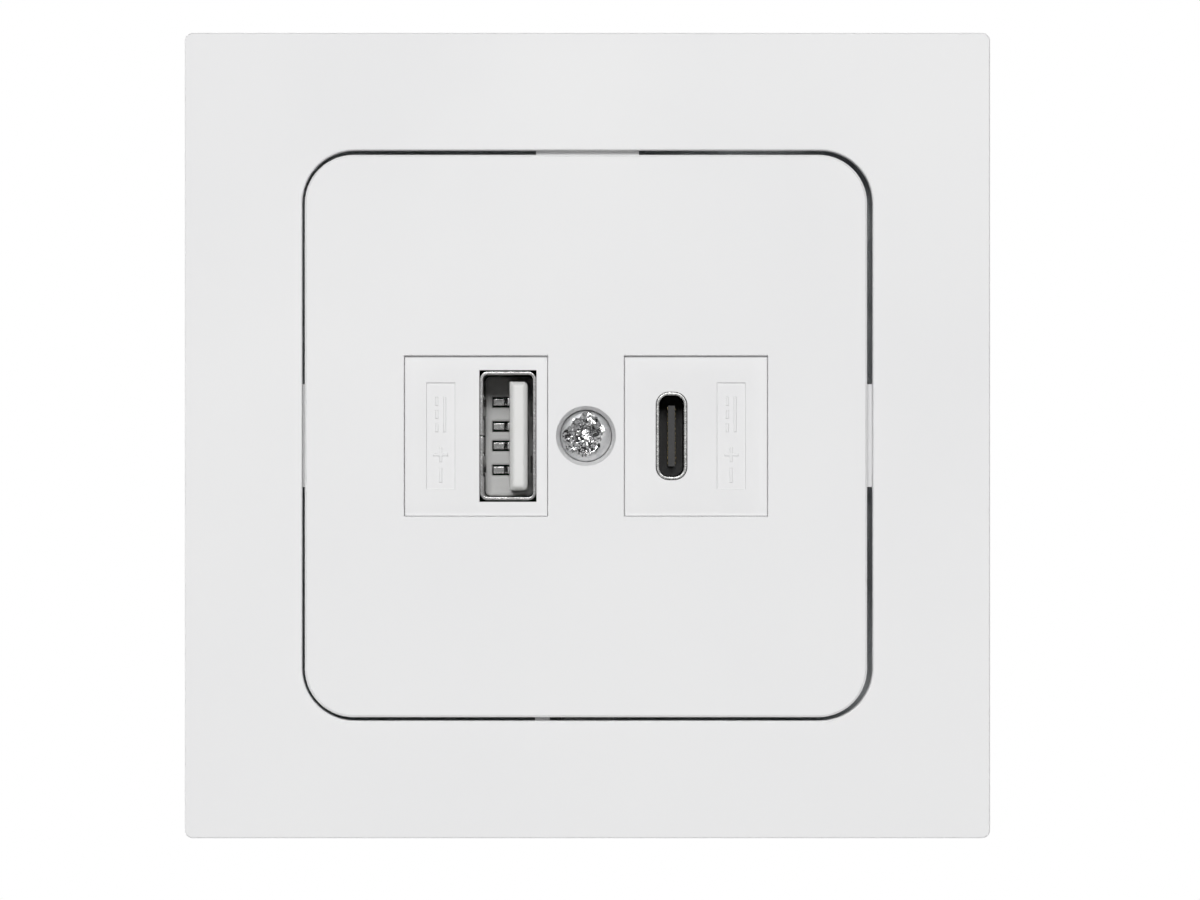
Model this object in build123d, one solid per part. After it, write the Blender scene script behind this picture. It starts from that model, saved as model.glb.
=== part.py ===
from build123d import *
import os
from math import copysign, cos, radians, sin, sqrt

# Flush wall plate with a USB-A and a USB-C charging port, in millimetres.
# X runs right, Z runs up and Y runs into the wall. A height h is counted from
# the wall plane towards the room, so a point at height h has Y = -h.

# Mounting strap
strap_gap = 3.6
strap_wall = 1.0
strap_corner_r = 4.0
box_slot_inset = 5.0
box_slot_length = 6.0
box_slot_width = 4.2
latch_width = 9.0
latch_height = 2.6
latch_x = 20.0
latch_inset = 3.2

# Outer frame
frame_size = 82.0
frame_height = 9.0
frame_face = 2.2
frame_rim = 2.4
frame_corner_r = 0.8
frame_edge = 0.1
frame_play_x = 0.15
frame_play_z = 0.045
opening_size = 58.1
opening_corner_r = 5.35
opening_edge = 0.12
collar_setback = 1.0
collar_wall = 1.6
collar_gap = 0.2
rib_wall = 1.2
rib_height = 3.4
rib_pitch = 26.0
rib_count = 3
ledge_width = 10.5
low_ledge_width = 1.5
low_ledge_x = -4.6
ledge_reach = 1.5
ledge_wall = 1.6

# Centre cover
cover_gap = 0.425
cover_proud = 0.3
cover_rim = 1.6
cover_corner_r = 4.95
cover_edge = 0.2
skirt_gap = 0.35
skirt_wall = 1.6
window_width = 14.6
window_height = 16.35
bridge_width = 7.8
window_wall = 1.2
window_edge = 0.08
counterbore_d = 6.1
seat_wall = 1.6
screw_hole_d = 3.4

# Port inserts
insert_gap = 0.04
insert_sink = 0.6
insert_face = 1.4
insert_wall = 1.0
flange_reach = 0.7
flange_wall = 1.9
label_width = 2.9
label_height = 10.85
label_inset = 2.25
label_depth = 0.15

# Screws
cover_screw_d = 3.0
cover_screw_length = 8.0
cover_head_d = 5.2
cover_head_height = 2.0
cover_head_edge = 0.8
cross_length = 3.1
cross_width = 0.75
cross_depth = 1.1
thread_gap = 0.05
insert_nut_d = 4.6
insert_nut_length = 5.2
housing_screw_d = 2.4
housing_screw_length = 9.0
housing_head_d = 4.4
housing_head_height = 1.4
housing_screw_x = 10.0
housing_screw_reach = 2.0
hole_gap = 0.25

# Housings
housing_width = 39.0
housing_height = 46.0
housing_depth = 28.6
housing_corner_r = 6.0
housing_wall = 1.6
housing_edge = 1.0
plate_wall = 1.6
plate_overlap = 1.0
spigot_depth = 2.5
spigot_wall = 1.2
spigot_gap = 0.15
strap_opening_gap = 0.2
boss_size = 5.0
boss_depth = 10.0
post_gap = 0.2
post_depth = 2.6

# Boards
port_board_front = -5.1
port_board_wall = 1.2
port_board_gap_x = 1.4
port_board_gap_z = 2.4
power_board_wall = 1.6
power_board_gap = 0.6
board_corner = 3.0
standoff_size = 4.0
standoff_inset = 4.0
peg_size = 1.8
peg_gap = 0.1
peg_proud = 0.8
pillar_inset = 3.9
pillar_high_z = 5.0

# USB-A receptacle
port_a_margin = 1.19
a_mouth_width = 5.12
a_mouth_height = 12.5
a_wall = 0.3
a_corner_r = 0.5
a_sink = 0.25
a_hole_gap_x = 0.045
a_hole_gap_z = 0.155
a_back_depth = 9.4
a_base_gap = 0.1
a_tongue_wall = 1.84
a_tongue_height = 11.1
a_tongue_offset = 1.07
a_tongue_sink = 0.9
a_tongue_corner_r = 0.5
a_tongue_edge = 0.4
a_contact_places = (-3.5, -1.0, 1.0, 3.5)
a_contact_width = 0.7
a_contact_wall = 0.2
a_contact_sink = 0.9
a_blade_width = 1.15
a_blade_sink = 0.15
a_web_depth = 3.0
a_web_wall = 1.0
a_slot_width = 1.9
a_slot_height = 1.1
a_spring_z = 2.9
a_spring_width = 1.8
a_spring_length = 6.6
a_spring_bulge = 0.3
a_spring_margin = 0.4
a_spring_sink = 1.1
a_seam = 0.14

# USB-C receptacle
port_c_margin = 3.26
c_mouth_width = 2.56
c_mouth_height = 8.34
c_corner_r = 1.0
c_wall = 0.28
c_sink = 0.1
c_hole_gap = 0.05
c_back_depth = 6.2
c_base_gap = 0.08
c_tongue_wall = 0.7
c_tongue_height = 6.2
c_tongue_sink = 0.95
c_contact_count = 12
c_contact_pitch = 0.5
c_contact_width = 0.26
c_contact_wall = 0.05
c_contact_sink = 0.5

# Parts on the boards; a head gap is the space left below the port board
left_column = 8.8
core_width = 13.5
core_height = 6.5
core_wall = 2.4
core_head_gap = 1.6
coil_width = 8.4
coil_height = 12.5
coil_gap = 0.15
coil_edge_share = 0.2
transformer_z = -1.0
can_count = 2
can_margin = 0.1
can_gap = 0.8
input_can_d = 8.0
input_can_head_gap = 1.7
input_can_z = 8.0
output_can_d = 6.3
output_can_head_gap = 2.7
output_can_z = -8.0
fuse_width = 8.4
fuse_height = 4.0
fuse_head_gap = 3.7
fuse_z = 12.5
rectifier_size = (4.7, 3.9, 2.5)
rectifier_gap = 0.95
rectifier_z = 15.0
controller_size = (5.0, 4.0, 1.7)
controller_z = -12.5
port_chip_size = (4.0, 4.0, 0.9)
port_chip_place = (0.0, 4.0)
header_width = 10.2
header_wall = 2.5
header_inset = 2.5
link_pin_wall = 0.64
link_pin_pitch = 2.54
link_pin_count = 4

# Terminals
terminal_spacing = 12.0
terminal_gap = 1.1
clamp_width = 7.0
clamp_height = 8.0
clamp_depth = 7.4
clamp_gap = 0.5
wire_bore_d = 3.0
wire_drop = 1.3
wire_hole_d = 3.8
terminal_screw_d = 3.0
terminal_screw_length = 4.5
terminal_screw_proud = 1.3
driver_slot_width = 0.8
driver_slot_depth = 0.6
access_hole_d = 5.2

# Claws
claw_width = 8.0
claw_wall = 1.2
claw_length = 16.5
claw_swing = 25.0
claw_pivot_reach = 1.5
claw_pivot_h = -5.0
claw_pin_d = 2.0
claw_pin_length = 1.6
claw_pin_gap = 0.06
claw_screw_reach = 3.4
claw_screw_d = 3.0
claw_screw_length = 21.0
claw_screw_gap = 0.15
claw_arm_gap = 0.3
claw_head_d = 5.4
claw_head_height = 1.8
claw_slot_drop = 1.5
claw_bend_length = 3.0
claw_bend_reach = 1.6
claw_edge = 0.35
tooth_count = 4
ear_r = 2.1
ear_wall = 1.7
ear_gap = 0.2
ear_edge = 1.2

# Sizes that follow from the ones above
strap_size = frame_size - 2 * (frame_rim + strap_gap)
box_screw_spacing = strap_size - 2 * box_slot_inset
cover_front = frame_height + cover_proud
ledge_top = cover_front - cover_rim
cover_size = opening_size - 2 * cover_gap
plate_front = strap_wall + plate_wall
cover_back = plate_front + flange_wall
screw_seat = cover_back + seat_wall
insert_front = cover_front - insert_sink
window_x = (window_width + bridge_width) / 2
label_x = window_x + (window_width - label_width) / 2 - label_inset
post_d = bridge_width - 2 * (flange_reach + post_gap)
a_shell_front = insert_front - a_sink
a_shell_width = a_mouth_width + 2 * a_wall
a_shell_height = a_mouth_height + 2 * a_wall
c_shell_front = insert_front - c_sink
c_shell_width = c_mouth_width + 2 * c_wall
c_shell_height = c_mouth_height + 2 * c_wall
port_a_x = -(bridge_width + a_shell_width) / 2 - port_a_margin
port_c_x = (bridge_width + c_shell_width) / 2 + port_c_margin
room_width = housing_width - 2 * housing_wall
room_height = housing_height - 2 * housing_wall
room_corner_r = housing_corner_r - housing_wall
room_back = housing_wall - housing_depth
port_board_width = room_width - 2 * port_board_gap_x
port_board_height = room_height - 2 * port_board_gap_z
port_board_back = port_board_front - port_board_wall
power_board_width = room_width - 2 * power_board_gap
power_board_height = room_height - 2 * power_board_gap
power_board_back = room_back + clamp_depth + clamp_gap
power_board_front = power_board_back + power_board_wall
board_space = port_board_back - power_board_front
left_column_x = left_column - power_board_width / 2
header_z = header_inset - port_board_height / 2
terminal_z = room_height / 2 - terminal_gap - terminal_screw_proud - clamp_height / 2
terminal_h = power_board_back - clamp_depth / 2
terminal_top = terminal_z + clamp_height / 2
wire_z = terminal_z - wire_drop
claw_pivot_x = housing_width / 2 + claw_pivot_reach
claw_screw_x = claw_pivot_x + claw_screw_reach
housing_screw_z = housing_height / 2 + housing_screw_reach
housing_screw_places = [(-housing_screw_x, housing_screw_z), (housing_screw_x, -housing_screw_z)]
standoff_x = port_board_width / 2 - standoff_inset
standoff_z = port_board_height / 2 - standoff_inset
standoff_places = [(x, z) for x in (-standoff_x, standoff_x) for z in (-standoff_z, standoff_z)]
peg_places = [(-standoff_x, -standoff_z), (standoff_x, standoff_z)]
pillar_x = room_width / 2 - pillar_inset
pillar_low_z = pillar_inset - room_height / 2
pillar_places = [(x, z) for x in (-pillar_x, pillar_x) for z in (pillar_low_z, pillar_high_z)]


# A sketch in X and Z, filled from height back to height front.
def slab(sketch, back, front):
    return extrude(Plane.XZ.offset(back) * sketch, amount=front - back)


# A rectangle in X and Z about (x, z), filled between two heights.
def block(x, z, width, height, back, front):
    return slab(Pos(x, z) * Rectangle(width, height), back, front)


# A round bar along Y about (x, z).
def bar(x, z, diameter, back, front):
    return slab(Pos(x, z) * Circle(diameter / 2), back, front)


# A round-cornered rectangle in X and Z about the middle, between two heights.
def tile(width, height, corner_r, back, front):
    return slab(RectangleRounded(width, height, corner_r), back, front)


# The same with straight cuts across its corners, which touch the round ones from outside.
def clipped(width, height, corner_r, back, front):
    outline = Rectangle(width, height)
    return slab(chamfer(outline.vertices(), (2 - sqrt(2)) * corner_r), back, front)


# A part on a board's front face, from its (width, height, tallness).
def chip(size, place, base):
    width, height, tall = size
    return block(*place, width, height, base, base + tall)


# A flat outline of (x, h) points, filled along Z over a width about z.
def profile(points, z, width):
    outline = Polyline(*[(x, -h) for x, h in points], close=True)
    return extrude(Plane.XY.offset(z - width / 2) * make_face(outline), amount=width)


# Sheet metal bent along (x, h) points, of one wall, over a width about z.
def strip(points, wall, z, width):
    near = [(x - wall / 2, h) for x, h in points]
    far = [(x + wall / 2, h) for x, h in reversed(points)]
    return profile(near + far, z, width)


# A round bar along Z about (x, h), from z low to z high.
def upright(x, h, diameter, low, high):
    return extrude(Plane.XY.offset(low) * Pos(x, -h) * Circle(diameter / 2), amount=high - low)


def front_face(solid):
    return solid.faces().sort_by(Axis.Y)[0]


def make_outer_frame():
    room_top = frame_height - frame_face
    inside = frame_size - 2 * frame_rim
    collar = opening_size + 2 * (collar_setback + collar_wall)
    frame = tile(frame_size, frame_size, frame_corner_r, 0, frame_height)
    frame -= block(0, 0, inside, inside, 0, room_top)
    for side in range(4):
        for rib in range(rib_count):
            shift = (rib - (rib_count - 1) / 2) * rib_pitch
            middle = (inside + collar) / 4
            reach = (inside - collar) / 2 + frame_rim
            wall = block(shift, middle, rib_wall, reach, room_top - rib_height, room_top)
            frame += Rot(0, 90 * side, 0) * wall
    collar_back = plate_front + housing_head_height + collar_gap
    frame += block(0, 0, collar, collar, collar_back, room_top)
    undercut = opening_size + 2 * collar_setback
    frame -= clipped(undercut, undercut, opening_corner_r + collar_setback, 0, room_top)
    frame -= tile(opening_size, opening_size, opening_corner_r, room_top, frame_height)
    frame = chamfer(front_face(frame).inner_wires()[0].edges(), opening_edge)
    frame = chamfer(front_face(frame).outer_wire().edges(), frame_edge)
    full = (0, ledge_width)
    low = (-low_ledge_x, low_ledge_width)
    for side, (shift, width) in enumerate((full, full, low, full)):
        reach = ledge_reach + collar_setback + collar_wall / 2
        middle = opening_size / 2 - ledge_reach + reach / 2
        ledge = block(shift, middle, width, reach, ledge_top - ledge_wall, ledge_top)
        frame += Rot(0, 90 * side, 0) * ledge
    return Pos(frame_play_x, 0, frame_play_z) * frame


def make_centre_cover():
    skirt = opening_size - 2 * (ledge_reach + skirt_gap)
    skirt_r = cover_corner_r - (cover_size - skirt) / 2 + skirt_wall
    inside = skirt - 2 * skirt_wall
    cover = tile(cover_size, cover_size, cover_corner_r, ledge_top, cover_front)
    cover = chamfer(front_face(cover).edges(), cover_edge)
    cover += clipped(skirt, skirt, skirt_r, cover_back, ledge_top)
    cover -= clipped(inside, inside, skirt_r - skirt_wall, cover_back, ledge_top)
    cover += bar(0, 0, bridge_width, cover_back, ledge_top)
    for x in (-window_x, window_x):
        rim = 2 * window_wall
        cover += block(x, 0, window_width + rim, window_height + rim, cover_back, ledge_top)
    for x in (-window_x, window_x):
        cover -= block(x, 0, window_width, window_height, cover_back, cover_front)
    cover -= bar(0, 0, counterbore_d, screw_seat, cover_front)
    cover -= bar(0, 0, screw_hole_d, cover_back, screw_seat)
    edges = []
    for wire in front_face(cover).inner_wires():
        edges += wire.edges().filter_by(GeomType.LINE)
    return chamfer(edges, window_edge)


def make_insert(side, hole):
    x = side * window_x
    width = window_width - 2 * insert_gap
    height = window_height - 2 * insert_gap
    hollow = 2 * insert_wall
    rim = 2 * (insert_gap + flange_reach)
    insert = block(x, 0, width, height, plate_front, insert_front)
    insert += block(x, 0, width + rim, height + rim, plate_front, cover_back)
    insert -= block(x, 0, width - hollow, height - hollow, plate_front, insert_front - insert_face)
    insert -= slab(hole, plate_front, insert_front)
    label_floor = insert_front - label_depth
    insert -= block(side * label_x, 0, label_width, label_height, label_floor, insert_front)
    return insert


def make_usb_a_insert():
    width = a_shell_width + 2 * a_hole_gap_x
    height = a_shell_height + 2 * a_hole_gap_z
    return make_insert(-1, Pos(port_a_x, 0) * Rectangle(width, height))


def make_usb_c_insert():
    width = c_shell_width + 2 * c_hole_gap
    height = c_shell_height + 2 * c_hole_gap
    hole = Pos(port_c_x, 0) * RectangleRounded(width, height, c_corner_r + c_wall + c_hole_gap)
    return make_insert(1, hole)


def make_usb_a_shell():
    outer = Pos(port_a_x, 0) * RectangleRounded(a_shell_width, a_shell_height, a_corner_r + a_wall)
    inner = Pos(port_a_x, 0) * RectangleRounded(a_mouth_width, a_mouth_height, a_corner_r)
    shell = slab(outer, port_board_front, a_shell_front) - slab(inner, port_board_front, a_shell_front)
    tip = a_shell_front - a_spring_sink
    root = tip - a_spring_length
    opening = a_spring_width + 2 * a_spring_margin
    for side in (-1, 1):
        wall_x = port_a_x + side * (a_mouth_width + a_wall) / 2
        deep_x = wall_x - side * a_spring_bulge
        for z in (-a_spring_z, a_spring_z):
            shell -= block(wall_x, z, 2 * a_wall, opening, root, tip)
            bend = [(wall_x, root - a_wall), (wall_x, root)]
            bend += [(deep_x, (root + 2 * tip) / 3), (wall_x, tip - a_spring_margin)]
            shell += strip(bend, a_wall, z, a_spring_width)
    seam_x = port_a_x - (a_mouth_width + a_wall) / 2
    shell -= block(seam_x, 0, 2 * a_wall, a_seam, port_board_front, a_shell_front)
    return shell


def make_usb_a_insulator():
    back = insert_front - a_back_depth
    width = a_mouth_width - 2 * a_base_gap
    height = a_mouth_height - 2 * a_base_gap
    tongue_x = port_a_x + a_tongue_offset
    tongue = block(tongue_x, 0, a_tongue_wall, a_tongue_height, back, insert_front - a_tongue_sink)
    tongue = fillet(tongue.edges().filter_by(Axis.Y).sort_by(Axis.X)[-2:], a_tongue_corner_r)
    tongue = chamfer(front_face(tongue).edges(), a_tongue_edge)
    base = slab(Pos(port_a_x, 0) * RectangleRounded(width, height, a_corner_r), port_board_front, back)
    slot_x = tongue_x - (a_tongue_wall + a_slot_width) / 2
    for z in a_contact_places:
        base -= block(slot_x, z, a_slot_width, a_slot_height, port_board_front, back)
    return tongue + base


# Each contact stands as a blade in its slot, and a web joins it to the strip along the tongue.
def make_usb_a_contacts():
    back = insert_front - a_back_depth
    tip = insert_front - a_tongue_sink - a_contact_sink
    face_x = port_a_x + a_tongue_offset - a_tongue_wall / 2
    strip_x = face_x - a_contact_wall
    outer_x = face_x - a_slot_width + a_base_gap
    inner_x = outer_x + a_blade_width
    web_top = back - a_web_depth
    web_low = web_top - a_web_wall
    outline = [(outer_x, port_board_front), (outer_x, back - a_blade_sink), (inner_x, back - a_blade_sink)]
    outline += [(inner_x, web_top), (strip_x, web_top), (strip_x, tip), (face_x, tip), (face_x, web_low)]
    outline += [(inner_x, web_low), (inner_x, port_board_front)]
    return Part() + [profile(outline, z, a_contact_width) for z in a_contact_places]


def make_usb_c_shell():
    outer = Pos(port_c_x, 0) * RectangleRounded(c_shell_width, c_shell_height, c_corner_r + c_wall)
    inner = Pos(port_c_x, 0) * RectangleRounded(c_mouth_width, c_mouth_height, c_corner_r)
    return slab(outer, port_board_front, c_shell_front) - slab(inner, port_board_front, c_shell_front)


def make_usb_c_insulator():
    back = insert_front - c_back_depth
    gap = 2 * c_base_gap
    outline = RectangleRounded(c_mouth_width - gap, c_mouth_height - gap, c_corner_r - c_base_gap)
    base = slab(Pos(port_c_x, 0) * outline, port_board_front, back)
    return base + block(port_c_x, 0, c_tongue_wall, c_tongue_height, back, insert_front - c_tongue_sink)


def make_usb_c_contacts():
    back = insert_front - c_back_depth
    front = insert_front - c_tongue_sink - c_contact_sink
    contacts = []
    for side in (-1, 1):
        x = port_c_x + side * (c_tongue_wall + c_contact_wall) / 2
        for row in range(c_contact_count):
            z = (row - (c_contact_count - 1) / 2) * c_contact_pitch
            contacts.append(block(x, z, c_contact_wall, c_contact_width, back, front))
    return Part() + contacts


# A pan-head screw along Y, its head standing on height seat.
def make_screw(x, z, shank_d, length, head_d, head_height, seat):
    return bar(x, z, shank_d, seat - length, seat) + bar(x, z, head_d, seat, seat + head_height)


def make_cover_screw():
    top = screw_seat + cover_head_height
    screw = make_screw(0, 0, cover_screw_d, cover_screw_length, cover_head_d, cover_head_height, screw_seat)
    screw = chamfer(front_face(screw).edges(), cover_head_edge)
    cross = Rectangle(cross_length, cross_width) + Rectangle(cross_width, cross_length)
    return screw - slab(cross, top - cross_depth, top)


def make_thread_insert():
    top = cover_back - post_gap
    sleeve = bar(0, 0, insert_nut_d, top - insert_nut_length, top)
    return sleeve - bar(0, 0, cover_screw_d + 2 * thread_gap, top - insert_nut_length, top)


# A lug that reaches from the middle line past a housing screw.
def lug(x, z, back, front):
    reach = abs(z) + boss_size / 2
    return block(x, copysign(reach / 2, z), boss_size, reach, back, front)


def make_front_housing():
    overlap = 2 * plate_overlap
    room = 2 * (spigot_gap + spigot_wall)
    skirt_width = room_width - 2 * spigot_gap
    skirt_height = room_height - 2 * spigot_gap
    skirt_r = room_corner_r - spigot_gap
    housing = clipped(skirt_width, skirt_height, skirt_r, -spigot_depth, strap_wall)
    hollow_r = skirt_r - spigot_wall
    housing -= clipped(room_width - room, room_height - room, hollow_r, -spigot_depth, strap_wall)
    plate = (housing_width + overlap, housing_height + overlap, housing_corner_r)
    housing += clipped(*plate, strap_wall, plate_front)
    for x, z in housing_screw_places:
        housing += lug(x, z, strap_wall, plate_front)
    housing += bar(0, 0, post_d, -post_depth, cover_back - post_gap)
    for x, z in standoff_places:
        housing += block(x, z, standoff_size, standoff_size, port_board_front, strap_wall)
    gap = 2 * hole_gap
    housing -= block(port_a_x, 0, a_shell_width + gap, a_shell_height + gap, -post_depth, plate_front)
    housing -= block(port_c_x, 0, c_shell_width + gap, c_shell_height + gap, -post_depth, plate_front)
    housing -= bar(0, 0, insert_nut_d, -post_depth, cover_back - post_gap)
    for x, z in housing_screw_places:
        housing -= bar(x, z, housing_screw_d + gap, strap_wall, plate_front)
    for x, z in peg_places:
        housing += block(x, z, peg_size, peg_size, port_board_back - peg_proud, port_board_front)
    return housing


def make_mounting_strap():
    gap = 2 * strap_opening_gap
    strap = clipped(strap_size, strap_size, strap_corner_r, 0, strap_wall)
    strap -= clipped(room_width + gap, room_height + gap, room_corner_r + strap_opening_gap, 0, strap_wall)
    slot = Pos(0, box_screw_spacing / 2) * SlotOverall(box_slot_length, box_slot_width, rotation=90)
    latch = Pos(latch_x, strap_size / 2 - latch_inset) * Rectangle(latch_width, latch_height)
    for side in range(4):
        strap -= Rot(0, 90 * side, 0) * slab(slot + latch, 0, strap_wall)
    for x, z in housing_screw_places:
        strap -= bar(x, z, housing_screw_d + 2 * hole_gap, 0, strap_wall)
    for x in (-claw_screw_x, claw_screw_x):
        strap -= bar(x, 0, claw_screw_d + 2 * claw_screw_gap, 0, strap_wall)
    return strap


# Two ears that carry the pins of the right-hand claw.
def make_claw_ears():
    root = (housing_width - housing_wall) / 2
    reach = claw_pivot_x + ear_r - root
    ears = Part()
    for side in (-1, 1):
        z = side * (claw_width / 2 + ear_gap + ear_wall / 2)
        low = z - ear_wall / 2
        ear = block(root + reach / 2, z, reach, ear_wall, claw_pivot_h - ear_r, claw_pivot_h + ear_r)
        ear = chamfer(ear.edges().filter_by(Axis.Z).sort_by(Axis.X)[-2:], ear_edge)
        ears += ear - upright(claw_pivot_x, claw_pivot_h, claw_pin_d + 2 * claw_pin_gap, low, low + ear_wall)
    return ears


def make_rear_housing():
    housing = tile(housing_width, housing_height, housing_corner_r, -housing_depth, 0)
    housing = chamfer(housing.faces().sort_by(Axis.Y)[-1].edges(), housing_edge)
    for x, z in housing_screw_places:
        housing += lug(x, z, -boss_depth, 0)
    housing -= clipped(room_width, room_height, room_corner_r, room_back, 0)
    for x, z in housing_screw_places:
        housing -= bar(x, z, housing_screw_d + 2 * thread_gap, plate_front - housing_screw_length, 0)
    for x, z in pillar_places:
        housing += block(x, z, standoff_size, standoff_size, room_back, power_board_back)
    ears = make_claw_ears()
    housing += ears
    housing += mirror(ears, about=Plane.YZ)
    for x in (-terminal_spacing / 2, terminal_spacing / 2):
        housing -= bar(x, wire_z, wire_hole_d, -housing_depth, room_back)
        housing -= upright(x, terminal_h, access_hole_d, terminal_top, housing_height / 2)
    return housing


def make_housing_screws():
    size = (housing_screw_d, housing_screw_length, housing_head_d, housing_head_height, plate_front)
    return Part() + [make_screw(x, z, *size) for x, z in housing_screw_places]


def make_port_board():
    board = block(0, 0, port_board_width, port_board_height, port_board_back, port_board_front)
    board = chamfer(board.edges().filter_by(Axis.Y), board_corner)
    hole = peg_size + 2 * peg_gap
    for x, z in peg_places:
        board -= block(x, z, hole, hole, port_board_back, port_board_front)
    return board


def make_power_board():
    board = block(0, 0, power_board_width, power_board_height, power_board_back, power_board_front)
    return chamfer(board.edges().filter_by(Axis.Y), board_corner)


def make_transformer_core():
    tall = board_space - core_head_gap
    place = (left_column_x, transformer_z)
    core = chip((core_width, core_height, tall), place, power_board_front)
    hollow = 2 * core_wall
    low = power_board_front + core_wall
    return core - block(*place, core_width - hollow, core_height, low, low + tall - hollow)


def make_transformer_coil():
    low = power_board_front + core_wall + coil_gap
    tall = board_space - core_head_gap - 2 * (core_wall + coil_gap)
    coil = block(left_column_x, transformer_z, coil_width, coil_height, low, low + tall)
    return chamfer(coil.edges().filter_by(Axis.Z), coil_edge_share * tall)


# A row of round cans on the power board, from its right-hand edge inwards.
def make_cans(diameter, head_gap, z):
    cans = []
    for place in range(can_count):
        x = (power_board_width - diameter) / 2 - can_margin - place * (diameter + can_gap)
        cans.append(bar(x, z, diameter, power_board_front, port_board_back - head_gap))
    return Part() + cans


def make_fuse():
    size = (fuse_width, fuse_height, board_space - fuse_head_gap)
    return chip(size, (left_column_x, fuse_z), power_board_front)


def make_rectifier():
    x = left_column_x + (fuse_width + rectifier_size[0]) / 2 + rectifier_gap
    return chip(rectifier_size, (x, rectifier_z), power_board_front)


def make_link_pins():
    pins = []
    low = power_board_front + header_wall
    for pin in range(link_pin_count):
        x = (pin - (link_pin_count - 1) / 2) * link_pin_pitch
        pins.append(block(x, header_z, link_pin_wall, link_pin_wall, low, port_board_back))
    return Part() + pins


def make_terminal_clamps():
    clamps = []
    low = power_board_back - clamp_depth
    for x in (-terminal_spacing / 2, terminal_spacing / 2):
        clamp = block(x, terminal_z, clamp_width, clamp_height, low, power_board_back)
        clamp -= bar(x, wire_z, wire_bore_d, low, power_board_back)
        tip = terminal_top + terminal_screw_proud - terminal_screw_length
        clamps.append(clamp - upright(x, terminal_h, terminal_screw_d + 2 * thread_gap, tip, terminal_top))
    return Part() + clamps


def make_terminal_screws():
    screws = []
    top = terminal_top + terminal_screw_proud
    for x in (-terminal_spacing / 2, terminal_spacing / 2):
        screw = upright(x, terminal_h, terminal_screw_d, top - terminal_screw_length, top)
        slot_z = top - driver_slot_depth / 2
        half = driver_slot_width / 2
        slot = block(x, slot_z, terminal_screw_d, driver_slot_depth, terminal_h - half, terminal_h + half)
        screws.append(screw - slot)
    return Part() + screws


# The right-hand claw: a forked foot on two pins and an arm with a toothed end.
def make_claw():
    half = claw_wall / 2
    swing = radians(claw_swing)
    arm = claw_screw_reach + claw_screw_d / 2 + claw_arm_gap
    outer = arm + claw_wall
    bend = claw_bend_length - claw_length
    end = outer + claw_bend_reach
    outline = [(0, half), (outer, half), (outer, bend), (end, -claw_length)]
    outline += [(end - claw_edge, -claw_length), (arm, bend - claw_edge), (arm, -half), (0, -half)]
    claw = profile([(claw_pivot_x + u, claw_pivot_h + v) for u, v in outline], 0, claw_width)
    pin = claw_width / 2 + claw_pin_length
    claw += upright(claw_pivot_x, claw_pivot_h, claw_pin_d, -pin, pin)
    straight = claw_screw_reach - claw_screw_d / 2 - claw_screw_gap
    turned = (straight - half * sin(swing)) / cos(swing)
    inner = min(straight, turned)
    fork = claw_screw_d + 2 * claw_screw_gap
    middle = claw_pivot_x + (inner + end) / 2
    low = claw_pivot_h - half - claw_slot_drop
    claw -= block(middle, 0, end - inner, fork, low, claw_pivot_h + half)
    pitch = claw_width / tooth_count
    notch = pitch / 2
    for gap in range(1, tooth_count):
        z = gap * pitch - claw_width / 2
        place = Pos(claw_pivot_x + end, claw_length - claw_pivot_h, z)
        claw -= place * Rot(45, 0, 0) * Box(2 * end, notch, notch)
    return claw


# The right-hand claw screw, its head on the strap.
def make_claw_screw():
    size = (claw_screw_d, claw_screw_length, claw_head_d, claw_head_height, strap_wall)
    top = strap_wall + claw_head_height
    cross = Rectangle(cross_length, cross_width) + Rectangle(cross_width, cross_length)
    cut = slab(Pos(claw_screw_x, 0) * cross, top - cross_depth, top)
    return make_screw(claw_screw_x, 0, *size) - cut


claw = make_claw()
claw_screw = make_claw_screw()
nodes = {
    "outer_frame": make_outer_frame(),
    "centre_cover": make_centre_cover(),
    "cover_screw": make_cover_screw(),
    "usb_a_insert": make_usb_a_insert(),
    "usb_c_insert": make_usb_c_insert(),
    "usb_a_shell": make_usb_a_shell(),
    "usb_a_insulator": make_usb_a_insulator(),
    "usb_a_contacts": make_usb_a_contacts(),
    "usb_c_shell": make_usb_c_shell(),
    "usb_c_insulator": make_usb_c_insulator(),
    "usb_c_contacts": make_usb_c_contacts(),
    "port_board": make_port_board(),
    "port_chip": chip(port_chip_size, port_chip_place, port_board_back - port_chip_size[2]),
    "front_housing": make_front_housing(),
    "thread_insert": make_thread_insert(),
    "mounting_strap": make_mounting_strap(),
    "rear_housing": make_rear_housing(),
    "housing_screws": make_housing_screws(),
    "power_board": make_power_board(),
    "transformer_core": make_transformer_core(),
    "transformer_coil": make_transformer_coil(),
    "input_capacitors": make_cans(input_can_d, input_can_head_gap, input_can_z),
    "output_capacitors": make_cans(output_can_d, output_can_head_gap, output_can_z),
    "fuse": make_fuse(),
    "rectifier": make_rectifier(),
    "controller_chip": chip(controller_size, (left_column_x, controller_z), power_board_front),
    "link_header": chip((header_width, header_wall, header_wall), (0, header_z), power_board_front),
    "link_pins": make_link_pins(),
    "terminal_clamps": make_terminal_clamps(),
    "terminal_screws": make_terminal_screws(),
    "claw_right": claw,
    "claw_left": mirror(claw, about=Plane.YZ),
    "claw_screw_right": claw_screw,
    "claw_screw_left": mirror(claw_screw, about=Plane.YZ),
}
os.makedirs("parts", exist_ok=True)
for name, solid in nodes.items():
    export_step(solid, f"parts/{name}.step")
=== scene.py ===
import math
import bmesh
import bpy
from mathutils import Matrix, Vector


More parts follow.
